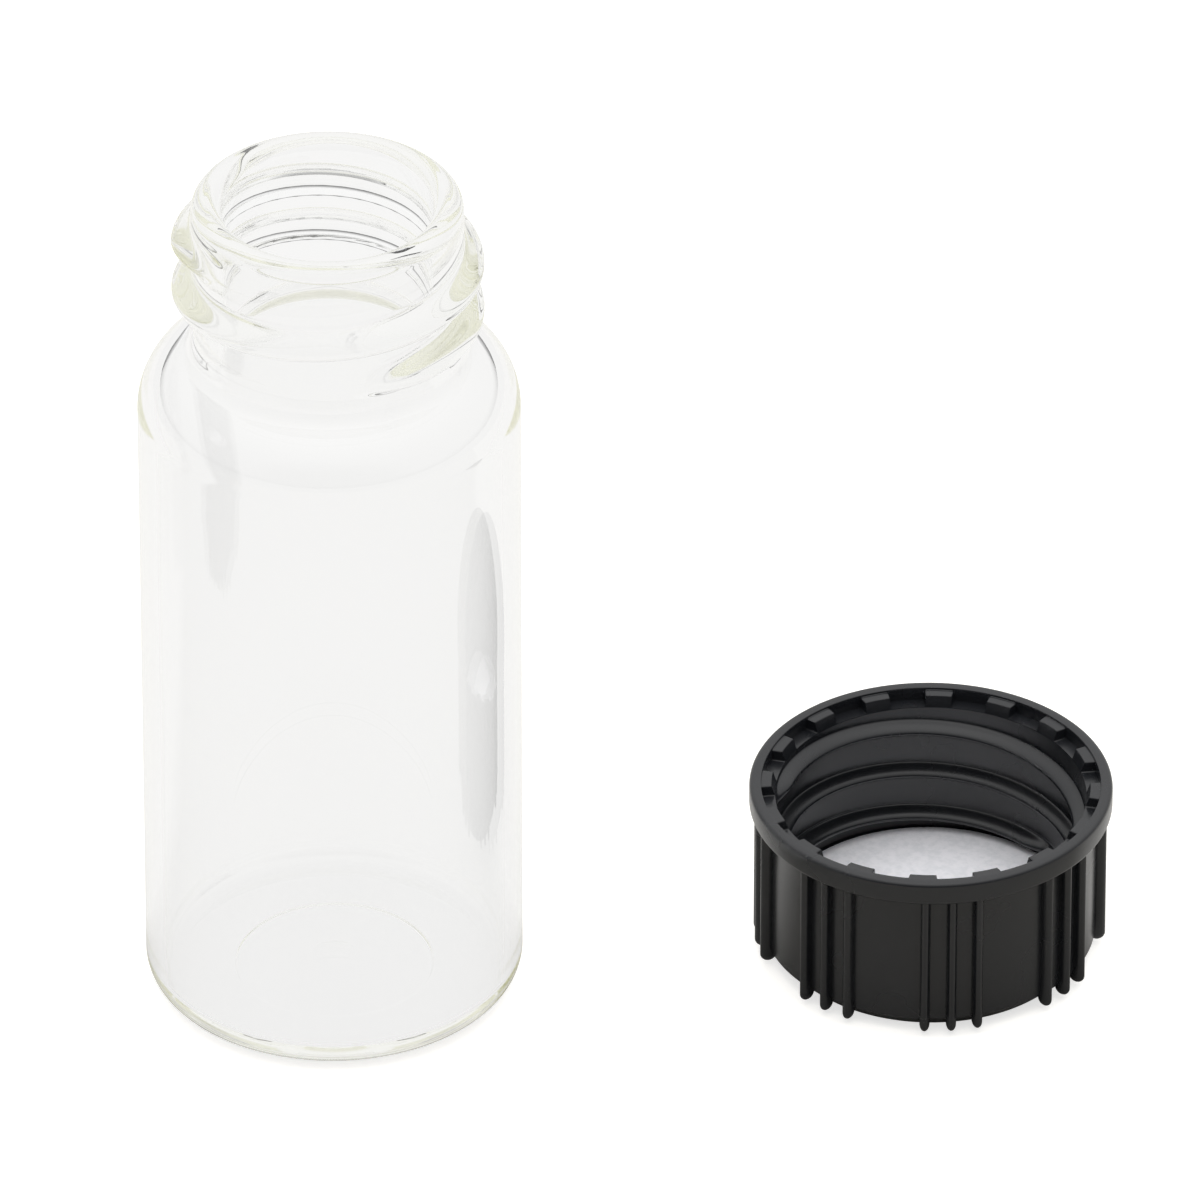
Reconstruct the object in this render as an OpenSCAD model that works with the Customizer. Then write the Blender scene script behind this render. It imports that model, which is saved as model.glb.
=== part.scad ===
// Glass sample vial with a screw neck, its ribbed screw cap and the cap's sealing liner.
// The vial stands on its base at the origin. The cap lies beside it on its closed face,
// open side up, with the liner seated inside. Millimetres, +Z up.

/* [Vial body] */
// Outside diameter of the glass tube
body_d = 22; // [20.5:0.1:30]
// Height of the vial, base to rim
vial_h = 53; // [48:0.5:90]
// Thickness of the tube wall
wall_t = 1.1; // [0.8:0.05:1.5]
// Thickness of the base at its middle ring
base_t = 1.2; // [0.8:0.05:2.5]
// Outside radius between the wall and the base
base_corner_r = 1.8; // [0.8:0.1:3]
// Inside radius between the wall and the floor
floor_corner_r = 1.6; // [0.5:0.1:3]
// Width of the shallow dimple in the middle of the floor
dimple_d = 2.8; // [1:0.1:6]
// Depth of the floor dimple
dimple_depth = 0.2; // [0.05:0.05:0.4]
// Radius of the rounded shoulder
shoulder_r = 4; // [3:0.1:4.5]

/* [Neck] */
// Length of the neck, rim down to the top of the shoulder
neck_len = 10; // [9:0.1:14]
// Outside diameter of the neck between the thread turns
neck_d = 15.6; // [15:0.1:17]
// Thickness of the neck's wall between the thread turns
neck_wall_t = 1.75; // [1.2:0.05:3]
// Radius of the rounded edges of the lip
lip_r = 0.8; // [0.3:0.05:0.85]
// Radius where the neck meets the shoulder, outside
neck_fillet_r = 1.2; // [0.5:0.1:1.4]
// Radius where the bore opens into the body, inside
throat_r = 0.9; // [0.3:0.05:0.95]

/* [Glass thread] */
// Height of the thread's crest out of the neck
thread_depth = 1.15; // [0.8:0.05:1.5]
// Rise of the thread in one turn, for the glass and the cap alike
pitch = 3; // [2.8:0.05:3.3]
// Height of the thread below its crest, on the steep side
flank_below = 0.95; // [0.7:0.05:1.1]
// Height of the thread above its crest, on the sloping side
flank_above = 1.6; // [1.2:0.05:1.8]
// Angle about the neck where the thread starts, low on the neck
thread_start_deg = 262; // [0:1:360]
// Distance from the top of the shoulder up to the crest at the thread's start
thread_foot_rise = 1.85; // [1:0.05:2.5]
// Distance from the rim down to the crest at the thread's end
thread_top_drop = 2.4; // [2.2:0.05:4]
// Angle over which each end of the thread rises from the neck
thread_fade_deg = 55; // [20:5:90]

/* [Cap] */
// Gap left under the cap's lip, to the top of the shoulder, when the cap is closed
closed_gap = 0.75; // [0.2:0.05:3]
// Distance the lip round the cap's mouth stands out from the skirt
cap_lip_proud = 0.9; // [0.7:0.05:2]
// Height of that lip
cap_lip_h = 1.45; // [1.3:0.05:2.5]
// Radius of the lip's outer edges
cap_lip_edge_r = 0.25; // [0.1:0.05:0.4]
// Thickness of the skirt between the ribs
skirt_t = 0.63; // [0.5:0.01:1.2]
// Chamfer between the skirt and the closed face
skirt_chamfer = 1; // [0.4:0.1:1.4]
// Thickness of the closed face
crown_t = 0.9; // [0.7:0.05:1.5]
// Distance between the standing vial and the cap that lies beside it, sideways
cap_away = 13.2; // [3:0.2:60]
// Distance from the vial's axis to the cap's axis, towards the back
cap_y = 2.8; // [-10:0.2:10]

/* [Cap ribs] */
// Number of groups of grip ribs
rib_groups = 8; // [4:1:10]
// Ribs in a group
ribs_per_group = 3; // [1:1:4]
// Angle between the ribs of a group
rib_step_deg = 9; // [7:0.5:10]
// Angle of the first group, about the cap's axis
rib_turn_deg = 6.5; // [0:0.5:45]
// Width of a rib
rib_w = 0.6; // [0.4:0.05:0.9]
// Distance a rib stands out from the skirt
rib_proud = 0.6; // [0.4:0.05:0.8]
// Height of the ribs' rounded ends above the closed face
rib_end_z = 0.25; // [0.1:0.05:1]

/* [Cap mouth] */
// Number of notches round the mouth
notch_count = 16; // [8:1:20]
// Width of a notch
notch_w = 2.1; // [1.2:0.1:2.6]
// Depth of the notches below the lip, at the bore
notch_depth = 0.8; // [0.6:0.05:1.15]
// Height a notch's sloping floor rises on its way out from the bore
notch_rise = 0.4; // [0.1:0.05:0.45]
// Width of the step inside the lip, which the notches reach out to
mouth_step_w = 0.83; // [0.6:0.01:1]
// Depth of that step below the lip
mouth_step_h = 0.15; // [0.05:0.05:0.5]
// Angle of the first notch, about the cap's axis
notch_turn_deg = 6.85; // [0:0.05:22]

/* [Cap thread] */
// Clearance between the glass thread's crest and the cap's bore, on the radius
thread_clear = 0.12; // [0.05:0.01:0.25]
// Clearance between the cap thread's crest and the neck, on the radius
neck_clear = 0.45; // [0.3:0.05:0.6]
// Half the height of the cap's thread at its root
cap_flank = 0.6; // [0.4:0.05:0.7]
// Angle where the cap's thread starts, just above the liner
cap_thread_start_deg = 45; // [0:5:90]
// Clearance between the liner and the foot of the cap's thread
cap_thread_rise = 0.05; // [0.02:0.01:0.4]
// Distance from the cap's lip down to the crest at the end of its thread
cap_thread_drop = 1.4; // [1:0.05:4]
// Angle over which each end of the cap's thread rises from the bore
cap_thread_fade_deg = 25; // [15:5:60]

/* [Liner] */
// Thickness of the sealing disc
liner_t = 0.85; // [0.6:0.05:1.5]
// Clearance round the disc's edge, on the radius
liner_clear = 0.1; // [0.05:0.05:0.3]

/* [Hidden] */
$fn = 96;
overcut = 1;

body_r = body_d / 2;
inner_r = body_r - wall_t;
neck_r = neck_d / 2;
bore_r = neck_r - neck_wall_t;
// The lip's two round edges meet at most in the middle of the neck's wall.
lip_edge_r = min(lip_r, neck_wall_t / 2 - 0.05);
shoulder_x = body_r - shoulder_r;
shoulder_top_z = vial_h - neck_len;
shoulder_z = shoulder_top_z - shoulder_r;
dimple_sphere_r = (pow(dimple_d / 2, 2) + pow(dimple_depth, 2)) / (2 * dimple_depth);

thread_embed = 0.35;
thread_start_z = shoulder_top_z + thread_foot_rise;
thread_sweep_deg = (neck_len - thread_foot_rise - thread_top_drop) / pitch * 360;

cap_bore_r = neck_r + thread_depth + thread_clear;
skirt_r = cap_bore_r + skirt_t;
cap_lip_r = skirt_r + cap_lip_proud;
mouth_step_r = cap_bore_r + mouth_step_w;
cap_x = body_r + cap_away + cap_lip_r;
// Closed, the liner lies on the rim and the lip stops short of the shoulder.
cap_h = crown_t + liner_t + neck_len - closed_gap;
cap_thread_depth = cap_bore_r - neck_r - neck_clear;
cap_thread_embed = 0.25;
cap_thread_z = crown_t + liner_t + cap_thread_rise + cap_flank;
cap_thread_sweep_deg = (cap_h - cap_thread_drop - cap_thread_z) / pitch * 360;
liner_r = cap_bore_r - liner_clear;
// A rib's round edge is a rod; the web behind it is a shade narrower, so no faces run tangent.
rib_rod_r = rib_w / 2;
rib_rod_x = skirt_r + rib_proud - rib_rod_r;
rib_web_w = rib_w * 0.94;

ring_step_deg = 10;
flank_steps = 4;
// How far a thread's crest dives under the wall at its two ends.
end_sink = 0.1;

// Height of a thread's crest out of its wall, which grows from its ends over the fade angle.
function crest_height(depth, turned, sweep, fade_deg) =
    let (edge = min(1, min(turned, sweep - turned) / fade_deg))
    (depth + end_sink) * (1 - cos(180 * edge)) / 2 - end_sink;

// Section of a rounded thread: [height out of the wall, height along the axis] pairs.
function thread_section(depth, embed, below, above) = [
    for (i = [-flank_steps : flank_steps])
        let (share = i / flank_steps)
        [(depth + embed) * cos(90 * share) - embed, share * (share < 0 ? below : above)]
];

// A thread swept round the Z axis; side is 1 on an outside wall and -1 in a bore.
module helix_thread(wall_r, side, depth, embed, below, above, start_deg, sweep_deg, fade_deg, z) {
    rings = ceil(sweep_deg / ring_step_deg);
    count = 2 * flank_steps + 1;
    points = [
        for (i = [0 : rings])
            let (
                turned = sweep_deg * i / rings,
                angle = start_deg + turned,
                section = thread_section(
                    crest_height(depth, turned, sweep_deg, fade_deg), embed, below, above)
            )
            for (p = section)
                [
                    (wall_r + side * p[0]) * cos(angle),
                    (wall_r + side * p[0]) * sin(angle),
                    z + turned / 360 * pitch + p[1]
                ]
    ];
    skin = [
        for (i = [0 : rings - 1], j = [0 : count - 1])
            let (
                a = i * count + j,
                b = i * count + (j + 1) % count,
                c = a + count,
                d = b + count
            )
            each side > 0 ? [[a, b, d], [a, d, c]] : [[a, d, b], [a, c, d]]
    ];
    first = [for (j = [0 : count - 1]) j];
    last = [for (j = [0 : count - 1]) rings * count + j];
    ends = side > 0
        ? [[for (j = [count - 1 : -1 : 0]) first[j]], last]
        : [first, [for (j = [count - 1 : -1 : 0]) last[j]]];
    polyhedron(points = points, faces = concat(skin, ends), convexity = 8);
}

// Half section from the axis out to a round blend of an upright wall into a shoulder circle.
module shoulder_blend(wall_r, circle_r, blend_r) {
    blend_x = wall_r + blend_r;
    blend_z = shoulder_z
        + sqrt(pow(circle_r + blend_r, 2) - pow(max(0, blend_x - shoulder_x), 2));
    difference() {
        polygon([
            [0, shoulder_z],
            [min(shoulder_x, blend_x), shoulder_z],
            [blend_x, blend_z],
            [0, blend_z]
        ]);
        translate([blend_x, blend_z]) circle(blend_r);
    }
}

// Half section of the glass, outside, with its tube filled in.
module vial_outside() {
    square([body_r - base_corner_r, shoulder_z]);
    translate([0, base_corner_r]) square([body_r, shoulder_z - base_corner_r]);
    translate([body_r - base_corner_r, base_corner_r]) circle(base_corner_r);
    translate([shoulder_x, shoulder_z]) circle(shoulder_r);
    square([shoulder_x, shoulder_top_z]);
    shoulder_blend(neck_r, shoulder_r, neck_fillet_r);
    square([neck_r, vial_h - lip_edge_r]);
    square([neck_r - lip_edge_r, vial_h]);
    translate([neck_r - lip_edge_r, vial_h - lip_edge_r]) circle(lip_edge_r);
}

// Half section of the space inside, from the floor out through the mouth.
module vial_inside() {
    translate([0, base_t]) square([inner_r - floor_corner_r, shoulder_z - base_t]);
    translate([0, base_t + floor_corner_r])
        square([inner_r, shoulder_z - base_t - floor_corner_r]);
    translate([inner_r - floor_corner_r, base_t + floor_corner_r]) circle(floor_corner_r);
    intersection() {
        translate([shoulder_x, shoulder_z]) circle(shoulder_r - wall_t);
        translate([0, base_t]) square([inner_r + overcut, vial_h]);
    }
    translate([0, shoulder_z - overcut]) square([shoulder_x, shoulder_r - wall_t + overcut]);
    shoulder_blend(bore_r, shoulder_r - wall_t, throat_r);
    translate([0, shoulder_z]) square([bore_r, vial_h]);
    difference() {
        translate([0, vial_h - lip_edge_r])
            square([bore_r + lip_edge_r, lip_edge_r + overcut]);
        translate([bore_r + lip_edge_r, vial_h - lip_edge_r]) circle(lip_edge_r);
    }
}

module vial() {
    color([0.93, 0.96, 0.95, 0.35])
    union() {
        difference() {
            rotate_extrude() difference() {
                intersection() {
                    vial_outside();
                    square([body_r + overcut, vial_h + overcut]);
                }
                vial_inside();
            }
            translate([0, 0, base_t - dimple_depth + dimple_sphere_r]) sphere(dimple_sphere_r);
        }
        helix_thread(neck_r, 1, thread_depth, thread_embed, flank_below, flank_above,
            thread_start_deg, thread_sweep_deg, thread_fade_deg, thread_start_z);
    }
}

// Half section of the cap, outside: crown, skirt and the lip round its mouth.
module cap_outside() {
    polygon([
        [0, 0],
        [skirt_r - skirt_chamfer, 0],
        [skirt_r, skirt_chamfer],
        [skirt_r, cap_h],
        [0, cap_h]
    ]);
    translate([0, cap_h - cap_lip_h + cap_lip_edge_r])
        square([cap_lip_r, cap_lip_h - 2 * cap_lip_edge_r]);
    translate([0, cap_h - cap_lip_h]) square([cap_lip_r - cap_lip_edge_r, cap_lip_h]);
    for (z = [cap_h - cap_lip_edge_r, cap_h - cap_lip_h + cap_lip_edge_r])
        translate([cap_lip_r - cap_lip_edge_r, z]) circle(cap_lip_edge_r);
}

// The bore inside the skirt, and the step inside the lip.
module cap_cavity() {
    translate([0, 0, crown_t]) cylinder(r = cap_bore_r, h = cap_h);
    translate([0, 0, cap_h - mouth_step_h]) cylinder(r = mouth_step_r, h = cap_h);
}

// One grip rib: a bullnosed rod with the web that joins it to the skirt.
module rib() {
    rib_top_z = cap_h - cap_lip_h / 2;
    translate([rib_rod_x, 0, rib_end_z]) rotate_extrude() {
        translate([0, rib_rod_r]) square([rib_rod_r, rib_top_z - rib_end_z - rib_rod_r]);
        intersection() {
            translate([0, rib_rod_r]) circle(rib_rod_r);
            square([rib_w, rib_rod_r]);
        }
    }
    web_z = rib_end_z + rib_rod_r;
    web_x = skirt_r - skirt_chamfer;
    translate([web_x, -rib_web_w / 2, web_z])
        cube([rib_rod_x - web_x, rib_web_w, rib_top_z - web_z]);
}

// The notches between the teeth inside the mouth, with floors that slope down to the bore.
module mouth_notches() {
    floor_z = cap_h - notch_depth;
    slope = notch_rise / mouth_step_w;
    intersection() {
        rotate_extrude() polygon([
            [cap_bore_r - overcut, floor_z - overcut * slope],
            [mouth_step_r, floor_z + notch_rise],
            [mouth_step_r, cap_h + overcut],
            [cap_bore_r - overcut, cap_h + overcut]
        ]);
        for (i = [0 : notch_count - 1])
            rotate(notch_turn_deg + i * 360 / notch_count)
                translate([cap_bore_r - overcut, -notch_w / 2, 0])
                    cube([cap_lip_r, notch_w, cap_h + overcut]);
    }
}

module cap() {
    color([0.13, 0.13, 0.14])
    translate([cap_x, cap_y, 0])
    union() {
        difference() {
            union() {
                rotate_extrude() cap_outside();
                for (group = [0 : rib_groups - 1], i = [0 : ribs_per_group - 1])
                    rotate(rib_turn_deg + group * 360 / rib_groups
                        + (i - (ribs_per_group - 1) / 2) * rib_step_deg)
                        rib();
            }
            cap_cavity();
            mouth_notches();
        }
        helix_thread(cap_bore_r, -1, cap_thread_depth, cap_thread_embed, cap_flank, cap_flank,
            cap_thread_start_deg, cap_thread_sweep_deg, cap_thread_fade_deg, cap_thread_z);
    }
}

module liner() {
    color([0.86, 0.87, 0.88])
    translate([cap_x, cap_y, crown_t]) cylinder(r = liner_r, h = liner_t);
}

vial();
cap();
liner();
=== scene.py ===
"""Clear glass sample vial, its ribbed black screw cap and the cap's pale sealing liner.

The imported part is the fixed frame. Each of its three pieces is replaced by a finer one of the
same outside size: a glass vial with its thread formed on the neck, a moulded cap and a liner.
Metres, Z up, the vial standing at the origin and the cap lying beside it, open side up.
"""

import math
from collections import namedtuple

import bmesh
import bpy
from bpy.props import FloatProperty, FloatVectorProperty, IntProperty, PointerProperty
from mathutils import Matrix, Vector


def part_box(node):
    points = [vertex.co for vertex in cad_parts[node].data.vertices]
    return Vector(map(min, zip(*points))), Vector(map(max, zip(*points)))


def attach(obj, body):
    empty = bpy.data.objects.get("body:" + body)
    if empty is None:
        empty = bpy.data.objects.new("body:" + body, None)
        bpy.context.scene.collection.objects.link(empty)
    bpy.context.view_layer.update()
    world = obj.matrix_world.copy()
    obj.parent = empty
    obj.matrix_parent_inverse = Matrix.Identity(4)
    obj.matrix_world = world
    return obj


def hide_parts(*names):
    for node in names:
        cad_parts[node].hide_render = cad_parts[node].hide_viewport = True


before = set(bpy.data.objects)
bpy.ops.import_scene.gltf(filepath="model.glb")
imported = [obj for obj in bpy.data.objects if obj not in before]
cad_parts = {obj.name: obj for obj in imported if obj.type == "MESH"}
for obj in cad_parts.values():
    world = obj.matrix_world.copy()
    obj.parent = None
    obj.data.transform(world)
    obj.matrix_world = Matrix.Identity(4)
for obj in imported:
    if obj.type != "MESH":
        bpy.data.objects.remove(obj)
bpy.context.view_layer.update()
VIAL_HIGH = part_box("vial")[1]
CAP_LOW, CAP_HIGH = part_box("cap")
LINER_LOW, LINER_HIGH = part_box("liner")

bl_info = {
    "name": "Glass Sample Vial",
    "version": (1, 0, 0),
    "blender": (4, 5, 0),
    "location": "View3D > Sidebar > Sample Vial",
    "description": "Builds a screw neck glass vial with its ribbed cap and sealing liner",
    "category": "Add Mesh",
}

MM = 0.001
# The cap's axis, from the middle of its box.
CAP_X = (CAP_LOW.x + CAP_HIGH.x) / 2
CAP_Y = (CAP_LOW.y + CAP_HIGH.y) / 2
# Parts that a full turn is divided into, and the height of the rows that carry a thread.
SEGMENTS = 256
GLASS_ROW = 0.08 * MM
CAP_ROW = 0.05 * MM
# Rough step along a straight stretch of a section that carries no thread.
GLASS_STEP = 2 * MM
CAP_STEP = 3 * MM
# Points closer than this are one point.
MERGE = 0.0001 * MM
# How deep each thread's root lies in its wall, and the rounding at its foot.
GLASS_EMBED = 0.35 * MM
GLASS_BLEND = 0.3 * MM
CAP_EMBED = 0.25 * MM
CAP_BLEND = 0.2 * MM
# Steps round each rounded edge of the cap's section, and round a notch's corner.
EDGE_STEPS = 5
# How far down inside the mouth's lip the ribs' tops end, as a share of the lip's height.
RIB_TOP = 0.6
# Small offsets that keep a notch's faces from lying in the cap's: above the teeth, and out
# past the step before its end is rounded a little short of the step.
NOTCH_RAISE = 0.004 * MM
NOTCH_OVER = 0.03 * MM
NOTCH_SHY = 0.01 * MM
# Edges that turn by more than this are shaded sharp, or rounded on the liner.
SHARP_DEG = 40
# The floor lies just under the pieces that stand on it.
FLOOR_DROP = 0.05 * MM
# The mirrored floor is lifted behind the vial only: from nothing at the first of these
# places to all of it at the second.
LIFT_FRONT = -MM
LIFT_BACK = 5 * MM
# Seen through glass the tent is dim in front, where the direction's Y is under the first of
# these, and bright where it is over the second.
DIM_FRONT = -0.85
DIM_BACK = -0.55
# Light runs along the inside of the glass walls for a hundred bounces and more.
BOUNCES = 256

Thread = namedtuple(
    "Thread", "depth embed below above pitch start_deg sweep_deg fade_deg foot_z"
)


def length(name, description, millimetres):
    """A length property whose default is given in millimetres."""
    return FloatProperty(
        name=name,
        description=description,
        default=millimetres * MM,
        min=0.0,
        precision=5,
        subtype="DISTANCE",
        unit="LENGTH",
    )


def angle(name, description, degrees):
    """An angle property whose default is given in degrees."""
    return FloatProperty(
        name=name,
        description=description,
        default=math.radians(degrees),
        subtype="ANGLE",
        unit="ROTATION",
    )


def share(name, description, default):
    """A plain number from 0 to 1."""
    return FloatProperty(
        name=name, description=description, default=default, min=0.0, max=1.0
    )


def colour(name, description, default):
    """A linear colour property."""
    return FloatVectorProperty(
        name=name,
        description=description,
        default=default,
        size=3,
        min=0.0,
        max=1.0,
        subtype="COLOR",
    )


class VialSizes(bpy.types.PropertyGroup):
    """Sizes and finish of the glass."""

    body_r: length("Body Radius", "Outside radius of the tube", 11)
    height: FloatProperty(
        name="Height",
        description="Base to rim",
        default=VIAL_HIGH.z,
        subtype="DISTANCE",
        unit="LENGTH",
    )
    wall: length("Wall", "Thickness of the tube wall", 1.1)
    base: length("Base", "Thickness of the base", 1.2)
    base_corner: length("Base Corner", "Outside radius from wall to base", 1.8)
    floor_corner: length("Floor Corner", "Inside radius from wall to floor", 0.5)
    heel_r: length("Heel Radius", "Radius of the hollow under the base", 5.9)
    hollow: length("Hollow", "Depth of the hollow under the base", 0.06)
    hollow_slope: angle("Hollow Slope", "Steepest slope of the hollow's edge", 25)
    dimple_r: length("Dimple Radius", "Radius of the dimple in the floor", 1.4)
    dimple_depth: length("Dimple Depth", "Depth of the dimple in the floor", 0.2)
    shoulder: length("Shoulder", "Radius of the rounded shoulder", 4)
    neck_length: length("Neck Length", "Rim down to the shoulder's top", 10)
    neck_r: length("Neck Radius", "Outside radius between thread turns", 7.8)
    neck_wall: length("Neck Wall", "Thickness of the neck's wall", 1.75)
    lip: length("Lip", "Radius of the lip's rounded edges", 0.8)
    neck_fillet: length("Neck Fillet", "Outside radius at the neck's foot", 1.2)
    throat: length("Throat", "Inside radius at the neck's foot", 2.5)
    thread_depth: length("Thread Depth", "Crest out of the neck", 1.15)
    pitch: length("Pitch", "Rise of the thread in one turn", 3)
    flank_below: length("Flank Below", "Height of the steep side", 0.95)
    flank_above: length("Flank Above", "Height of the sloping side", 1.6)
    thread_start: angle("Thread Start", "Angle where the thread starts", 262)
    thread_turn: angle("Thread Turn", "Angle the thread turns through", 690)
    thread_fade: angle("Thread Fade", "Angle over which its ends rise", 55)
    thread_foot: length("Thread Foot", "Shoulder up to the first crest", 1.85)
    tint: colour("Tint", "Colour the glass takes in depth", (0.98, 0.98, 0.935))
    tint_density: FloatProperty(
        name="Tint Density",
        description="How fast the tint builds up, per metre",
        default=36.0,
        min=0.0,
    )


class CapSizes(bpy.types.PropertyGroup):
    """Sizes and finish of the cap."""

    height: FloatProperty(
        name="Height",
        description="Closed face to lip",
        default=CAP_HIGH.z,
        subtype="DISTANCE",
        unit="LENGTH",
    )
    lip_r: length("Lip Radius", "Outside radius of the mouth's lip", 10.6)
    lip_height: length("Lip Height", "Height of the mouth's lip", 1.45)
    lip_edge: length("Lip Edge", "Radius of the lip's outer edges", 0.25)
    skirt_r: length("Skirt Radius", "Outside radius between the ribs", 9.7)
    chamfer: length("Chamfer", "Chamfer round the closed face", 1)
    crown: length("Crown", "Thickness of the closed face", 0.9)
    bore_r: length("Bore Radius", "Inside radius between thread turns", 9.07)
    step_r: length("Step Radius", "Radius of the step inside the lip", 9.9)
    step_height: length("Step Height", "Depth of the teeth below the lip", 0.15)
    tooth_r: length("Tooth Radius", "Radius of the teeth's inner ends", 9.3)
    edge: length("Edge", "Rounding of the other moulded edges", 0.06)
    tooth_edge: length("Tooth Edge", "Rounding of the teeth in the mouth", 0.08)
    rib_groups: IntProperty(name="Rib Groups", description="Groups of ribs", default=8)
    group_ribs: IntProperty(name="Ribs", description="Ribs in a group", default=3)
    rib_step: angle("Rib Step", "Angle between the ribs of a group", 9)
    rib_turn: angle("Rib Turn", "Angle of the first group", 6.5)
    rib_width: length("Rib Width", "Width of a rib", 0.6)
    rib_depth: length("Rib Depth", "Depth of a rib from front to back", 1)
    rib_proud: length("Rib Proud", "Distance a rib stands out", 0.6)
    rib_end: length("Rib End", "Height of the ribs' round ends", 0.25)
    notches: IntProperty(name="Notches", description="Mouth notches", default=16)
    notch_width: length("Notch Width", "Width of a notch", 2.1)
    taper_depth: length("Taper Depth", "Depth of the mouth's taper below the lip", 0.85)
    notch_depth: length("Notch Depth", "Depth of a notch below the lip", 0.82)
    notch_corner: length("Notch Corner", "Rounding of a notch's corners", 0.1)
    notch_turn: angle("Notch Turn", "Angle of the first notch", 7.6)
    thread_depth: length("Thread Depth", "Crest out of the bore", 0.82)
    pitch: length("Pitch", "Rise of the thread in one turn", 3)
    thread_flank: length("Thread Flank", "Half height of the thread", 0.6)
    thread_foot: length("Thread Foot", "Height of the first crest", 2.23)
    thread_start: angle("Thread Start", "Angle where the thread starts", 25)
    thread_turn: angle("Thread Turn", "Angle the thread turns through", 884)
    thread_fade: angle("Thread Fade", "Angle over which its ends rise", 25)
    shade: colour("Colour", "Colour of the plastic", (0.008, 0.0088, 0.0108))
    roughness: share("Roughness", "Roughness of the moulded surface", 0.25)


class LinerSizes(bpy.types.PropertyGroup):
    """Sizes and finish of the liner."""

    edge: length("Edge", "Rounding of the cut edge", 0.08)
    light: colour("Light", "Colour of the facing", (0.93, 0.925, 0.96))
    dark: colour("Dark", "Colour of its mottling", (0.83, 0.835, 0.87))


class StageSizes(bpy.types.PropertyGroup):
    """The floor, the light and the camera."""

    floor_size: length("Floor", "Side of the floor", 4000)
    shade: colour("Shade", "Hue of the floor, seen in its shadows", (1.0, 0.97, 0.9))
    pale: share("Pale", "Shade of the floor", 0.7)
    seen_lift: share("Seen Lift", "Light added to the floor that is seen", 0.65)
    mirror_pale: share("Mirror Pale", "Shade of the mirrored floor", 0.4)
    glass_pale: share("Glass Pale", "Shade of the floor seen through glass", 0.05)
    glass_lift: share("Glass Lift", "Light added to the floor seen through glass", 0.865)
    mirror_lift: share("Mirror Lift", "Light added to the mirrored floor behind", 0.45)
    glass_white: share("Glass White", "Brightness of the tent seen through glass", 0.95)
    glass_dim: share("Glass Dim", "Brightness there of the tent's front", 0.5)
    glass_gap: share("Glass Gap", "Brightness there of the gap above the floor", 0.15)
    gap_height: share("Gap Height", "Height where that gap ends", 0.12)
    tent: share("Tent", "Strength of the tent at its sides", 0.5)
    tent_top: FloatProperty(
        name="Tent Top", description="Strength added overhead", default=2.7
    )
    tent_back: share("Tent Back", "Strength added behind and taken off in front", 0.2)
    mirror_side: share("Mirror Side", "Mirrored strength of the tent's sides", 0.45)
    mirror_back: share("Mirror Back", "Mirrored strength added behind", 0.35)
    mirror_top: share("Mirror Top", "Mirrored strength added overhead", 1.0)
    camera_x: length("Camera Across", "Sideways place of the camera", 15.515)
    camera_back: length("Camera Back", "Distance in front of the vial", 871.48)
    camera_up: length("Camera Up", "Height of the camera", 604.93)
    camera_pitch: angle("Camera Pitch", "Downward tilt of the camera", 33.614)
    focal: FloatProperty(
        name="Focal Length", description="Lens, in millimetres", default=544.2
    )


class SampleVialSettings(bpy.types.PropertyGroup):
    """All the settings of the vial, its cap, its liner and the stage."""

    vial: PointerProperty(type=VialSizes)
    cap: PointerProperty(type=CapSizes)
    liner: PointerProperty(type=LinerSizes)
    stage: PointerProperty(type=StageSizes)


# Sections and meshes


def arc(centre, radius, start_deg, end_deg, steps):
    """Points along an arc of a half section, both ends included."""
    found = []
    for i in range(steps + 1):
        turn = math.radians(start_deg + (end_deg - start_deg) * i / steps)
        found.append(
            (centre[0] + radius * math.cos(turn), centre[1] + radius * math.sin(turn))
        )
    return found


def straight(start, end, step):
    """Evenly spaced points on a straight line of a half section, both ends included."""
    count = max(1, round(math.dist(start, end) / step))
    return [
        (
            start[0] + (end[0] - start[0]) * i / count,
            start[1] + (end[1] - start[1]) * i / count,
        )
        for i in range(count + 1)
    ]


def deselect_all():
    """Leaves edit mode and selects nothing."""
    if bpy.context.object and bpy.context.object.mode != "OBJECT":
        bpy.ops.object.mode_set(mode="OBJECT")
    bpy.ops.object.select_all(action="DESELECT")


def only(obj):
    """Makes one object the selected and active one."""
    deselect_all()
    obj.select_set(True)
    bpy.context.view_layer.objects.active = obj
    return obj


def edit(obj):
    """Opens one object in edit mode with vertices selectable."""
    only(obj)
    bpy.ops.object.mode_set(mode="EDIT")
    bpy.ops.mesh.select_mode(type="VERT")


def pick(obj, test):
    """Selects the vertices of the object in edit mode that pass the test."""
    bpy.ops.mesh.select_all(action="DESELECT")
    mesh = bmesh.from_edit_mesh(obj.data)
    for v in mesh.verts:
        if test(v.co):
            v.select_set(True)
    mesh.select_flush(True)
    bmesh.update_edit_mesh(obj.data)


def draw_chain(name, points):
    """A chain of edges through the points, extruded from one vertex and left in edit mode."""
    deselect_all()
    bpy.ops.mesh.primitive_plane_add(size=MM, location=points[0])
    obj = bpy.context.object
    obj.name = name
    bpy.ops.object.transform_apply(location=True, rotation=True, scale=True)
    edit(obj)
    bpy.ops.mesh.select_all(action="SELECT")
    bpy.ops.mesh.merge(type="CENTER")
    for start, end in zip(points, points[1:]):
        step = Vector(end) - Vector(start)
        bpy.ops.mesh.extrude_region_move(TRANSFORM_OT_translate={"value": step})
    bpy.ops.mesh.select_all(action="SELECT")
    return obj


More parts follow.
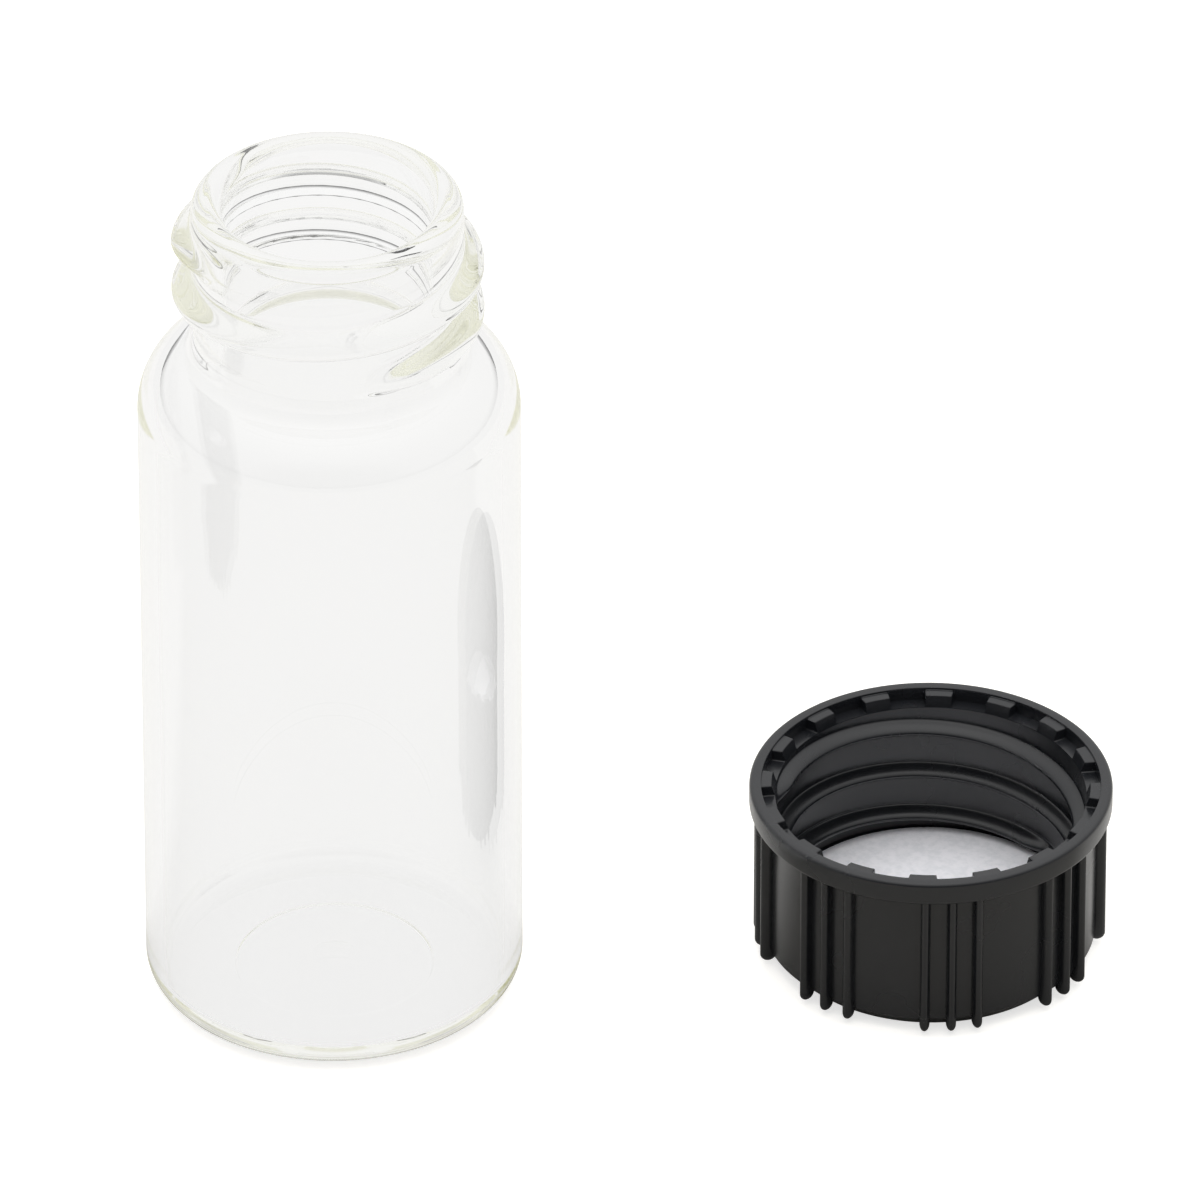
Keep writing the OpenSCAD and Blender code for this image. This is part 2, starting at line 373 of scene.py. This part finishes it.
def revolve(name, section, axis_x, axis_y):
    """Draws the half section and spins it about an upright axis."""
    obj = draw_chain(name, [(axis_x + x, axis_y, z) for x, z in section])
    bpy.ops.mesh.spin(
        steps=SEGMENTS, angle=math.tau, center=(axis_x, axis_y, 0), axis=(0, 0, 1)
    )
    bpy.ops.mesh.select_all(action="SELECT")
    bpy.ops.mesh.remove_doubles(threshold=MERGE)
    bpy.ops.mesh.normals_make_consistent(inside=False)
    bpy.ops.object.mode_set(mode="OBJECT")
    return obj


def apply_modifier(obj, kind, **values):
    """Adds one modifier with these values and applies it."""
    only(obj)
    modifier = obj.modifiers.new(kind.title(), kind)
    for key, value in values.items():
        setattr(modifier, key, value)
    bpy.ops.object.modifier_apply(modifier=modifier.name)


def smooth(obj):
    """Shades smooth, apart from the sharp edges."""
    only(obj)
    bpy.ops.object.shade_smooth_by_angle(angle=math.radians(SHARP_DEG))


def crest_height(thread, turned):
    """Height of the thread's crest after a turn, which grows from its two ends."""
    edge = min(1, min(turned, thread.sweep_deg - turned) / thread.fade_deg)
    sink = thread.embed
    return (thread.depth + sink) * (1 - math.cos(math.pi * edge)) / 2 - sink


def thread_height(thread, turn_deg, z, blend):
    """Height of the thread out of its wall, with its foot blended into the wall."""
    best = -thread.embed
    turned = (turn_deg - thread.start_deg) % 360
    while turned <= thread.sweep_deg:
        rise = z - thread.foot_z - turned / 360 * thread.pitch
        flank = thread.above if rise > 0 else thread.below
        if abs(rise) < 2 * flank:
            depth = crest_height(thread, turned)
            swell = math.cos(math.pi / 2 * rise / flank)
            best = max(best, (depth + thread.embed) * swell - thread.embed)
        turned += 360
    near = max(blend - abs(best), 0)
    return max(best, 0) + near * near / (4 * blend)


def raise_thread(obj, thread, axis_x, axis_y, on_wall, blend):
    """Weights the wall's vertices by the thread's height and pushes them out by that much."""
    group = obj.vertex_groups.new(name="thread")
    for v in obj.data.vertices:
        x, y = v.co.x - axis_x, v.co.y - axis_y
        if on_wall(math.hypot(x, y), v.co.z):
            turn_deg = math.degrees(math.atan2(y, x))
            height = thread_height(thread, turn_deg, v.co.z, blend)
            if height > 0:
                group.add([v.index], height / (2 * thread.depth), "REPLACE")
    apply_modifier(
        obj,
        "DISPLACE",
        direction="NORMAL",
        mid_level=0.0,
        strength=2 * thread.depth,
        vertex_group="thread",
    )
    obj.vertex_groups.remove(obj.vertex_groups["thread"])


def finish_piece(obj, material, node):
    """Gives a piece its material and its place in the frame."""
    obj.data.materials.clear()
    obj.data.materials.append(material)
    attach(obj, "root")
    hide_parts(node)


# Materials


class Nodes:
    """A material's node tree, with short ways to add and link nodes."""

    def __init__(self, name):
        self.material = bpy.data.materials.new(name)
        self.material.use_nodes = True
        self.tree = self.material.node_tree
        self.shader = self.tree.nodes["Principled BSDF"]
        self.output = self.tree.nodes["Material Output"]

    def add(self, kind, **values):
        """A node with its properties and unlinked inputs set by name."""
        node = self.tree.nodes.new("ShaderNode" + kind)
        for key, value in values.items():
            if hasattr(node, key):
                setattr(node, key, value)
            else:
                node.inputs[key.replace("_", " ")].default_value = value
        return node

    def link(self, source, target):
        """Links one socket to another."""
        self.tree.links.new(source, target)

    def set(self, **values):
        """Sets the main shader's own sockets."""
        for key, value in values.items():
            self.shader.inputs[key.replace("_", " ")].default_value = value

    def noise(self, scale, detail, stretch=(1, 1, 1)):
        """Noise on the piece's own coordinates, stretched along the axes."""
        place = self.add("TexCoord")
        mapping = self.add("Mapping", Scale=stretch)
        self.link(place.outputs["Object"], mapping.inputs["Vector"])
        found = self.add("TexNoise", Scale=scale, Detail=detail)
        self.link(mapping.outputs["Vector"], found.inputs["Vector"])
        return found.outputs["Fac"]

    def blend(self, factor, first, second):
        """Mixes two colours by a factor, into the main shader's colour."""
        mix = self.add("Mix", data_type="RGBA")
        mix.inputs["A"].default_value = (*first, 1)
        mix.inputs["B"].default_value = (*second, 1)
        self.link(factor, mix.inputs["Factor"])
        self.link(mix.outputs["Result"], self.shader.inputs["Base Color"])

    def bump(self, source, depth, strength=1.0):
        """Relief from a height source, into the main shader."""
        relief = self.add("Bump", Strength=strength, Distance=depth)
        self.link(source, relief.inputs["Height"])
        self.link(relief.outputs["Normal"], self.shader.inputs["Normal"])


def feed(tree, value, socket):
    """Links a socket's value, or sets a plain one."""
    if isinstance(value, bpy.types.NodeSocket):
        tree.links.new(value, socket)
    else:
        socket.default_value = value


def spread(tree, source, low, high, to_low, to_high):
    """A value moved from one range to another and kept inside it."""
    ranged = tree.nodes.new("ShaderNodeMapRange")
    tree.links.new(source, ranged.inputs["Value"])
    ranged.inputs["From Min"].default_value = low
    ranged.inputs["From Max"].default_value = high
    ranged.inputs["To Min"].default_value = to_low
    ranged.inputs["To Max"].default_value = to_high
    return ranged.outputs["Result"]


def times_plus(tree, source, factor, more):
    """The source times the factor, plus more."""
    step = tree.nodes.new("ShaderNodeMath")
    step.operation = "MULTIPLY_ADD"
    for socket, value in zip(step.inputs, (source, factor, more)):
        feed(tree, value, socket)
    return step.outputs[0]


def by_ray(tree, other, **levels):
    """One value on the rays named by each keyword, and another on the rest."""
    path = tree.nodes.new("ShaderNodeLightPath")
    value = other
    for ray, level in levels.items():
        mix = tree.nodes.new("ShaderNodeMix")
        tree.links.new(path.outputs[f"Is {ray.title()} Ray"], mix.inputs["Factor"])
        feed(tree, value, mix.inputs["A"])
        feed(tree, level, mix.inputs["B"])
        value = mix.outputs["Result"]
    return value


def clear_glass(sizes):
    """Clear drawn glass: faint draw lines along the tube and a light tint in depth."""
    nodes = Nodes("clear_glass")
    nodes.set(
        Base_Color=(1, 1, 1, 1),
        Roughness=0.0,
        IOR=1.47,
        Transmission_Weight=1.0,
    )
    draw_lines = nodes.noise(scale=220, detail=2, stretch=(1, 1, 0.05))
    nodes.bump(draw_lines, depth=0.004 * MM)
    depth = nodes.add("VolumeAbsorption")
    depth.inputs["Color"].default_value = (*sizes.tint, 1)
    depth.inputs["Density"].default_value = sizes.tint_density
    nodes.link(depth.outputs["Volume"], nodes.output.inputs["Volume"])
    return nodes.material


def black_plastic(sizes):
    """Moulded black plastic with a satin skin."""
    nodes = Nodes("black_plastic")
    nodes.set(Specular_IOR_Level=0.5, IOR=1.58)
    patches = nodes.noise(scale=160, detail=3)
    darker = [c * 0.8 for c in sizes.shade]
    lighter = [c * 1.3 for c in sizes.shade]
    nodes.blend(patches, darker, lighter)
    rough = spread(
        nodes.tree,
        patches,
        low=0.3,
        high=0.7,
        to_low=sizes.roughness - 0.04,
        to_high=sizes.roughness + 0.06,
    )
    nodes.link(rough, nodes.shader.inputs["Roughness"])
    grain = nodes.noise(scale=2600, detail=2)
    nodes.bump(grain, depth=0.004 * MM, strength=0.5)
    return nodes.material


def white_liner(sizes):
    """Pale pressed liner facing with fine mottling."""
    nodes = Nodes("white_liner")
    nodes.set(Roughness=0.5, Specular_IOR_Level=0.4)
    mottle = nodes.noise(scale=2600, detail=3)
    clouds = spread(nodes.tree, mottle, low=0.35, high=0.6, to_low=0, to_high=1)
    nodes.blend(clouds, sizes.dark, sizes.light)
    nodes.bump(mottle, depth=0.01 * MM, strength=0.5)
    return nodes.material


# Pieces


def shoulder_blend(wall_r, circle_r, blend_r, sizes):
    """Centre of the round blend between an upright wall and a shoulder circle, and its angle."""
    shoulder_x = sizes.body_r - sizes.shoulder
    shoulder_z = sizes.height - sizes.neck_length - sizes.shoulder
    x = wall_r + blend_r
    offset = max(0, x - shoulder_x)
    z = shoulder_z + math.sqrt((circle_r + blend_r) ** 2 - offset**2)
    return (x, z), math.degrees(math.atan2(z - shoulder_z, offset))


def vial_section(sizes):
    """Half section of the glass, from the underside's centre up, over the lip and down inside."""
    s = sizes
    shoulder = (s.body_r - s.shoulder, s.height - s.neck_length - s.shoulder)
    bore_r = s.neck_r - s.neck_wall
    lip_z = s.height - s.lip
    inner_r = s.body_r - s.wall
    corner = (inner_r - s.floor_corner, s.base + s.floor_corner)
    fillet, fillet_deg = shoulder_blend(s.neck_r, s.shoulder, s.neck_fillet, s)
    throat, throat_deg = shoulder_blend(bore_r, s.shoulder - s.wall, s.throat, s)
    ball_r = (s.dimple_r**2 + s.dimple_depth**2) / (2 * s.dimple_depth)
    dimple_deg = math.degrees(math.asin(s.dimple_r / ball_r))
    slope_deg = math.degrees(s.hollow_slope)
    bend_r = s.hollow / (2 - 2 * math.cos(s.hollow_slope))
    hollow_r = s.heel_r - 2 * bend_r * math.sin(s.hollow_slope)
    outside = (
        straight((0, s.hollow), (hollow_r, s.hollow), GLASS_STEP)
        + arc((hollow_r, s.hollow - bend_r), bend_r, 90, 90 - slope_deg, steps=4)
        + arc((s.heel_r, bend_r), bend_r, 270 - slope_deg, 270, steps=4)
        + straight((s.heel_r, 0), (s.body_r - s.base_corner, 0), GLASS_STEP)
        + arc((s.body_r - s.base_corner, s.base_corner), s.base_corner, -90, 0, steps=16)
        + straight((s.body_r, s.base_corner), (s.body_r, shoulder[1]), GLASS_STEP)
        + arc(shoulder, s.shoulder, 0, fillet_deg, steps=24)
        + arc(fillet, s.neck_fillet, fillet_deg - 180, -180, steps=14)
        + straight((s.neck_r, fillet[1]), (s.neck_r, lip_z), GLASS_ROW)
        + arc((s.neck_r - s.lip, lip_z), s.lip, 0, 90, steps=12)
    )
    inside = (
        arc((bore_r + s.lip, lip_z), s.lip, 90, 180, steps=12)
        + straight((bore_r, lip_z), (bore_r, throat[1]), MM)
        + arc(throat, s.throat, 180, 180 + throat_deg, steps=12)
        + arc(shoulder, s.shoulder - s.wall, throat_deg, 0, steps=20)
        + straight((inner_r, shoulder[1]), (inner_r, corner[1]), GLASS_STEP)
        + arc(corner, s.floor_corner, 0, -90, steps=16)
        + straight((corner[0], s.base), (s.dimple_r, s.base), GLASS_STEP)
        + arc(
            (0, s.base - s.dimple_depth + ball_r), ball_r, -90 + dimple_deg, -90, steps=8
        )
    )
    return without_repeats(outside + inside)


def without_repeats(section):
    """The section without points that repeat the one before."""
    kept = [section[0]]
    for point in section[1:]:
        if math.dist(point, kept[-1]) > MERGE:
            kept.append(point)
    return kept


class SAMPLEVIAL_OT_glass(bpy.types.Operator):
    """Add the glass vial with its screw neck"""

    bl_idname = "sample_vial.glass"
    bl_label = "Glass Vial"

    def execute(self, context):
        s = context.scene.sample_vial.vial
        obj = revolve("vial_glass", vial_section(s), 0, 0)
        neck_z = s.height - s.neck_length
        thread = Thread(
            depth=s.thread_depth,
            embed=GLASS_EMBED,
            below=s.flank_below,
            above=s.flank_above,
            pitch=s.pitch,
            start_deg=math.degrees(s.thread_start),
            sweep_deg=math.degrees(s.thread_turn),
            fade_deg=math.degrees(s.thread_fade),
            foot_z=neck_z + s.thread_foot,
        )
        outside_r = s.neck_r - MERGE
        raise_thread(
            obj,
            thread,
            0,
            0,
            lambda r, z: r > outside_r and neck_z < z < s.height - s.lip,
            GLASS_BLEND,
        )
        bpy.ops.object.shade_smooth()
        finish_piece(obj, clear_glass(s), "vial")
        return {"FINISHED"}


def cap_section(sizes):
    """Half section of the cap, from its face's centre, up the outside and down the bore."""
    s = sizes
    lip_z = s.height - s.lip_height
    corners = [
        (0, 0, 0),
        (s.skirt_r - s.chamfer, 0, s.edge),
        (s.skirt_r, s.chamfer, s.edge),
        (s.skirt_r, lip_z, s.edge),
        (s.lip_r, lip_z, s.lip_edge),
        (s.lip_r, s.height, s.lip_edge),
        (s.step_r, s.height, s.edge),
        (s.step_r, s.height - s.step_height, s.edge),
        (s.tooth_r, s.height - s.step_height, s.tooth_edge),
        (s.bore_r, s.height - s.taper_depth, s.edge),
        (s.bore_r, s.crown, s.edge),
        (0, s.crown, 0),
    ]
    section = []
    for i, (x, z, radius) in enumerate(corners):
        here = Vector((x, z))
        if radius == 0:
            section.append((x, z))
            continue
        before = (Vector(corners[i - 1][:2]) - here).normalized()
        after = (Vector(corners[i + 1][:2]) - here).normalized()
        half = before.angle(after) / 2
        reach = radius / math.tan(half)
        centre = here + (before + after).normalized() * radius / math.sin(half)
        first, last = here + before * reach, here + after * reach
        for k in range(EDGE_STEPS + 1):
            away = (first - centre).normalized().slerp(
                (last - centre).normalized(), k / EDGE_STEPS
            )
            section.append(tuple(centre + away * radius))
    rows = []
    for start, end in zip(section, section[1:]):
        on_bore = abs(start[0] - s.bore_r) < MERGE and abs(end[0] - s.bore_r) < MERGE
        rows += straight(start, end, CAP_ROW if on_bore else CAP_STEP)
    return without_repeats(rows)


def rib(sizes):
    """One grip rib: an egg stretched up into a rod, its back lost in the skirt's wall."""
    s = sizes
    half_deep = s.rib_depth / 2
    x = CAP_X + s.skirt_r + s.rib_proud - half_deep
    z = s.rib_end + half_deep
    deselect_all()
    bpy.ops.mesh.primitive_uv_sphere_add(
        segments=32, ring_count=16, radius=half_deep, location=(x, CAP_Y, z)
    )
    obj = bpy.context.object
    obj.name = "rib"
    bpy.ops.object.transform_apply(location=True, rotation=True, scale=True)
    edit(obj)
    bpy.ops.mesh.select_all(action="SELECT")
    bpy.ops.transform.resize(
        value=(1, s.rib_width / s.rib_depth, 1), center_override=(x, CAP_Y, z)
    )
    pick(obj, lambda co: co.z > z + MERGE)
    rise = s.height - s.lip_height * RIB_TOP - z - half_deep
    bpy.ops.transform.translate(value=(0, 0, rise))
    bpy.ops.object.mode_set(mode="OBJECT")
    return obj


def notch_outline(sizes):
    """One side of a notch's outline, from its floor up and out over the tooth beside it."""
    s = sizes
    half = s.notch_width / 2
    tooth_z = s.height - s.step_height
    floor_z = s.height - s.notch_depth
    corner = s.notch_corner
    top_z = tooth_z - corner + NOTCH_RAISE
    return (
        [(0, floor_z)]
        + arc((half - corner, floor_z + corner), corner, -90, 0, EDGE_STEPS)
        + arc((half + corner, top_z), corner, 180, 90, EDGE_STEPS)
        + [(half + 2 * corner, s.height + MM)]
    )


def notch_tool(sizes):
    """The solid that one notch takes out between two of the mouth's teeth."""
    s = sizes
    side = notch_outline(s)
    outline = [(-y, z) for y, z in reversed(side)] + side[1:]
    inner_x = CAP_X + s.bore_r - MM
    outer_x = CAP_X + s.step_r + NOTCH_OVER
    obj = draw_chain("notch", [(inner_x, CAP_Y + y, z) for y, z in outline])
    bpy.ops.mesh.edge_face_add()
    bpy.ops.mesh.extrude_region_move(
        TRANSFORM_OT_translate={"value": (outer_x - inner_x, 0, 0)}
    )
    bpy.ops.mesh.select_all(action="SELECT")
    bpy.ops.mesh.normals_make_consistent(inside=False)
    deselect_all()
    bpy.ops.mesh.primitive_cylinder_add(
        vertices=SEGMENTS,
        radius=s.step_r - NOTCH_SHY,
        depth=10 * MM,
        location=(CAP_X, CAP_Y, s.height),
    )
    round_end = bpy.context.object
    apply_modifier(
        obj, "BOOLEAN", operation="INTERSECT", solver="EXACT", object=round_end
    )
    bpy.data.objects.remove(round_end)
    return obj


def ring_of(obj, turns):
    """One object made of the first one's copies, turned about the cap's axis."""
    copies = []
    for turn in turns:
        only(obj)
        bpy.ops.object.duplicate(linked=False)
        copy = bpy.context.object
        edit(copy)
        bpy.ops.mesh.select_all(action="SELECT")
        bpy.ops.transform.rotate(
            value=-turn, orient_axis="Z", center_override=(CAP_X, CAP_Y, 0)
        )
        bpy.ops.object.mode_set(mode="OBJECT")
        copies.append(copy)
    bpy.data.objects.remove(obj)
    deselect_all()
    for copy in copies:
        copy.select_set(True)
    bpy.context.view_layer.objects.active = copies[0]
    bpy.ops.object.join()
    return bpy.context.object


class SAMPLEVIAL_OT_cap(bpy.types.Operator):
    """Add the ribbed screw cap"""

    bl_idname = "sample_vial.cap"
    bl_label = "Screw Cap"

    def execute(self, context):
        s = context.scene.sample_vial.cap
        obj = revolve("screw_cap", cap_section(s), CAP_X, CAP_Y)
        thread = Thread(
            depth=s.thread_depth,
            embed=CAP_EMBED,
            below=s.thread_flank,
            above=s.thread_flank,
            pitch=s.pitch,
            start_deg=math.degrees(s.thread_start),
            sweep_deg=math.degrees(s.thread_turn),
            fade_deg=math.degrees(s.thread_fade),
            foot_z=s.thread_foot,
        )
        low_z = s.crown + 2 * s.edge
        high_z = s.height - s.taper_depth - 2 * s.edge
        raise_thread(
            obj,
            thread,
            CAP_X,
            CAP_Y,
            lambda r, z: abs(r - s.bore_r) < MERGE and low_z < z < high_z,
            CAP_BLEND,
        )
        middle = (s.group_ribs - 1) / 2
        ribs = ring_of(
            rib(s),
            [
                s.rib_turn + group * math.tau / s.rib_groups + (i - middle) * s.rib_step
                for group in range(s.rib_groups)
                for i in range(s.group_ribs)
            ],
        )
        apply_modifier(obj, "BOOLEAN", operation="UNION", solver="EXACT", object=ribs)
        bpy.data.objects.remove(ribs)
        notches = ring_of(
            notch_tool(s),
            [s.notch_turn + i * math.tau / s.notches for i in range(s.notches)],
        )
        apply_modifier(
            obj, "BOOLEAN", operation="DIFFERENCE", solver="EXACT", object=notches
        )
        bpy.data.objects.remove(notches)
        smooth(obj)
        finish_piece(obj, black_plastic(s), "cap")
        return {"FINISHED"}


class SAMPLEVIAL_OT_liner(bpy.types.Operator):
    """Add the sealing liner in the cap"""

    bl_idname = "sample_vial.liner"
    bl_label = "Liner"

    def execute(self, context):
        s = context.scene.sample_vial.liner
        deselect_all()
        bpy.ops.mesh.primitive_cylinder_add(
            vertices=SEGMENTS // 2,
            radius=(LINER_HIGH.x - LINER_LOW.x) / 2,
            depth=LINER_HIGH.z - LINER_LOW.z,
            location=(CAP_X, CAP_Y, (LINER_LOW.z + LINER_HIGH.z) / 2),
        )
        obj = bpy.context.object
        obj.name = "liner_disc"
        bpy.ops.object.transform_apply(location=True, rotation=True, scale=True)
        apply_modifier(
            obj,
            "BEVEL",
            width=s.edge,
            segments=3,
            limit_method="ANGLE",
            angle_limit=math.radians(SHARP_DEG),
        )
        smooth(obj)
        finish_piece(obj, white_liner(s), "liner")
        return {"FINISHED"}


def pale_floor(sizes):
    """Pale floor that keeps the shadows, lifted towards white where it is seen."""
    nodes = Nodes("pale_floor")
    nodes.tree.nodes.remove(nodes.shader)
    place = nodes.add("SeparateXYZ")
    nodes.link(nodes.add("TexCoord").outputs["Object"], place.inputs[0])
    behind = spread(
        nodes.tree, place.outputs["Y"], LIFT_FRONT, LIFT_BACK, 0.0, sizes.mirror_lift
    )
    plain = nodes.add("BsdfDiffuse")
    shade = by_ray(
        nodes.tree,
        sizes.pale,
        glossy=sizes.mirror_pale,
        transmission=sizes.glass_pale,
    )
    warm = nodes.add("VectorMath", operation="SCALE")
    warm.inputs[0].default_value = sizes.shade
    nodes.link(shade, warm.inputs["Scale"])
    nodes.link(warm.outputs["Vector"], plain.inputs["Color"])
    glow = nodes.add("Emission")
    level = by_ray(
        nodes.tree,
        0.0,
        glossy=behind,
        transmission=sizes.glass_lift,
        camera=sizes.seen_lift,
    )
    nodes.link(level, glow.inputs["Strength"])
    both = nodes.add("AddShader")
    nodes.link(plain.outputs[0], both.inputs[0])
    nodes.link(glow.outputs[0], both.inputs[1])
    nodes.link(both.outputs[0], nodes.output.inputs["Surface"])
    return nodes.material


def studio_world(sizes):
    """White where it is seen; as light, a soft tent, brightest overhead and dim in front."""
    world = bpy.data.worlds.new("studio")
    world.use_nodes = True
    tree = world.node_tree
    place = tree.nodes.new("ShaderNodeTexCoord")
    split = tree.nodes.new("ShaderNodeSeparateXYZ")
    tree.links.new(place.outputs["Generated"], split.inputs[0])
    up, back = split.outputs["Z"], split.outputs["Y"]
    squared = times_plus(tree, up, up, 0.0)
    cubed = times_plus(tree, squared, up, 0.0)
    fifth = times_plus(tree, cubed, squared, 0.0)
    lit = times_plus(tree, back, sizes.tent_back, sizes.tent)
    lit = times_plus(tree, fifth, sizes.tent_top, lit)
    mirrored = times_plus(tree, back, sizes.mirror_back, sizes.mirror_side)
    mirrored = times_plus(tree, cubed, sizes.mirror_top, mirrored)
    front = spread(tree, back, DIM_FRONT, DIM_BACK, sizes.glass_dim, 1.0)
    gap = spread(tree, up, 0.0, sizes.gap_height, sizes.glass_gap, sizes.glass_white)
    through = times_plus(tree, front, gap, 0.0)
    tent = tree.nodes["Background"]
    tent.inputs["Color"].default_value = (1, 1, 1, 1)
    strength = by_ray(tree, lit, glossy=mirrored, transmission=through, camera=1.0)
    tree.links.new(strength, tent.inputs["Strength"])
    return world


class SAMPLEVIAL_OT_stage(bpy.types.Operator):
    """Add the floor, the light and the camera"""

    bl_idname = "sample_vial.stage"
    bl_label = "Stage"

    def execute(self, context):
        s = context.scene.sample_vial.stage
        deselect_all()
        bpy.ops.mesh.primitive_plane_add(
            size=s.floor_size, location=(0, 0, -FLOOR_DROP)
        )
        floor = bpy.context.object
        floor.name = "floor"
        floor.data.materials.append(pale_floor(s))
        context.scene.world = studio_world(s)
        bpy.ops.object.camera_add(
            location=(s.camera_x, -s.camera_back, s.camera_up),
            rotation=(math.pi / 2 - s.camera_pitch, 0, 0),
        )
        camera = bpy.context.object
        camera.name = "camera"
        camera.data.lens = s.focal
        camera.data.clip_start = 0.01
        camera.data.clip_end = 20
        context.scene.camera = camera
        context.scene.view_settings.view_transform = "Standard"
        context.scene.cycles.max_bounces = BOUNCES
        context.scene.cycles.glossy_bounces = BOUNCES
        context.scene.cycles.transmission_bounces = BOUNCES
        return {"FINISHED"}


class SAMPLEVIAL_PT_panel(bpy.types.Panel):
    """The vial's operators and settings."""

    bl_idname = "SAMPLEVIAL_PT_panel"
    bl_label = "Sample Vial"
    bl_space_type = "VIEW_3D"
    bl_region_type = "UI"
    bl_category = "Sample Vial"

    def draw(self, context):
        settings = context.scene.sample_vial
        for operator, sizes in zip(
            OPERATORS, (settings.vial, settings.cap, settings.liner, settings.stage)
        ):
            box = self.layout.box()
            box.operator(operator.bl_idname)
            for key in sizes.__annotations__:
                box.prop(sizes, key)


OPERATORS = (
    SAMPLEVIAL_OT_glass,
    SAMPLEVIAL_OT_cap,
    SAMPLEVIAL_OT_liner,
    SAMPLEVIAL_OT_stage,
)
CLASSES = (
    VialSizes,
    CapSizes,
    LinerSizes,
    StageSizes,
    SampleVialSettings,
    *OPERATORS,
    SAMPLEVIAL_PT_panel,
)


def register():
    """Registers the classes and the scene's settings."""
    for cls in CLASSES:
        bpy.utils.register_class(cls)
    bpy.types.Scene.sample_vial = PointerProperty(type=SampleVialSettings)


def unregister():
    """Takes the settings and the classes away again."""
    del bpy.types.Scene.sample_vial
    for cls in reversed(CLASSES):
        bpy.utils.unregister_class(cls)


def main():
    """Builds the pieces and the stage."""
    register()
    bpy.ops.sample_vial.glass()
    bpy.ops.sample_vial.cap()
    bpy.ops.sample_vial.liner()
    bpy.ops.sample_vial.stage()


if __name__ == "__main__":
    main()
